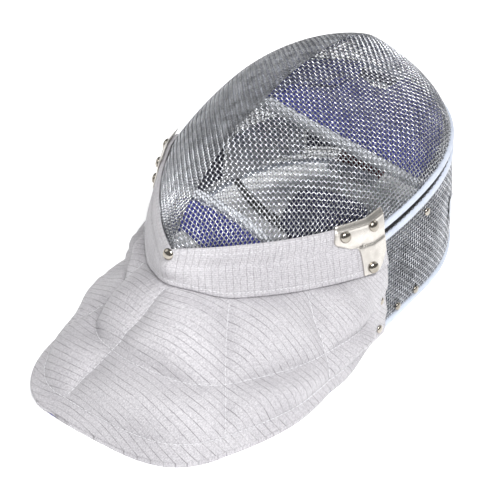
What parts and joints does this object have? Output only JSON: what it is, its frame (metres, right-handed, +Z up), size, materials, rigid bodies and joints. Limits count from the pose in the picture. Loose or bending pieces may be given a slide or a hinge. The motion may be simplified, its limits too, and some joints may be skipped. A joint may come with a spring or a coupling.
{
  "type": "fencing mask",
  "caption": "Woven wire fencing mask with a ridged face cage, padded inside, side brackets, a rear cage wall and a quilted throat bib.",
  "frame": {"origin": "middle of the outline, on the surface that the mask lies on", "axes": "+Y from chin to crown, +Z up through the centre ridge of the face mesh, +X towards the wearer's left; the mask lies face up"},
  "size_m": [0.232, 0.4238, 0.1871],
  "materials": {
    "wire_mesh": "bright woven steel wire",
    "plate_steel": "satin nickel plated sheet",
    "rivet_steel": "polished rivet",
    "edge_band": "pale insulating edge band",
    "lame_cloth": "conductive cloth with fine dark stripes",
    "wadding": "white wadding",
    "blue_cloth": "blue brushed cloth",
    "navy_cloth": "navy brushed cloth",
    "white_binding": "white woven binding",
    "grey_cloth": "light grey brushed cloth",
    "elastic": "black woven elastic",
    "maroon_cloth": "maroon cloth"
  },
  "bodies": {
    "cage": {"bracket_rivet_front_left": "rivet_steel", "bracket_rivet_rear_left": "rivet_steel", "bracket_rivet_leg_left": "rivet_steel", "bib_rivet_upper_left": "rivet_steel", "bib_rivet_lower_left": "rivet_steel", "rear_rivet_top_left": "rivet_steel", "rear_rivet_middle_left": "rivet_steel", "rear_rivet_front_left": "rivet_steel", "tongue_rivet_left": "rivet_steel", "bracket_left": "plate_steel", "cheek_pad_left": "navy_cloth", "rear_pad_left": "grey_cloth", "side_liner_left": "navy_cloth", "nape_liner_left": "navy_cloth", "bracket_rivet_front_right": "rivet_steel", "bracket_rivet_rear_right": "rivet_steel", "bracket_rivet_leg_right": "rivet_steel", "bib_rivet_upper_right": "rivet_steel", "bib_rivet_lower_right": "rivet_steel", "rear_rivet_top_right": "rivet_steel", "rear_rivet_middle_right": "rivet_steel", "rear_rivet_front_right": "rivet_steel", "tongue_rivet_right": "rivet_steel", "bracket_right": "plate_steel", "cheek_pad_right": "navy_cloth", "rear_pad_right": "grey_cloth", "side_liner_right": "navy_cloth", "nape_liner_right": "navy_cloth", "chin_rivet": "rivet_steel", "face_mesh": "wire_mesh", "back_mesh": "wire_mesh", "face_rim_band": "edge_band", "back_rim_band": "edge_band", "rear_edge_trim": "edge_band", "collar_band": "lame_cloth", "bib_outer": "lame_cloth", "bib_wadding": "wadding", "bib_lining": "blue_cloth", "bib_hem": "white_binding", "chin_edge_strip": "plate_steel", "forehead_pad": "blue_cloth", "forehead_binding": "white_binding", "chin_pad": "blue_cloth", "chin_binding": "white_binding", "back_strap": "elastic", "rear_tab": "white_binding", "tongue_root": "plate_steel"},
    "tongue": {"tongue_spring": "plate_steel", "tongue_pad": "maroon_cloth", "tongue_binding": "grey_cloth"}
  },
  "joints": [
    {"name": "tongue_flex", "type": "hinge", "parent": "cage", "child": "tongue", "pos_m": [0, 0.2033, 0.0674], "axis": [1, 0, 0], "range_deg": [0, 30], "stiffness_Nm_per_rad": 0.4}
  ]
}
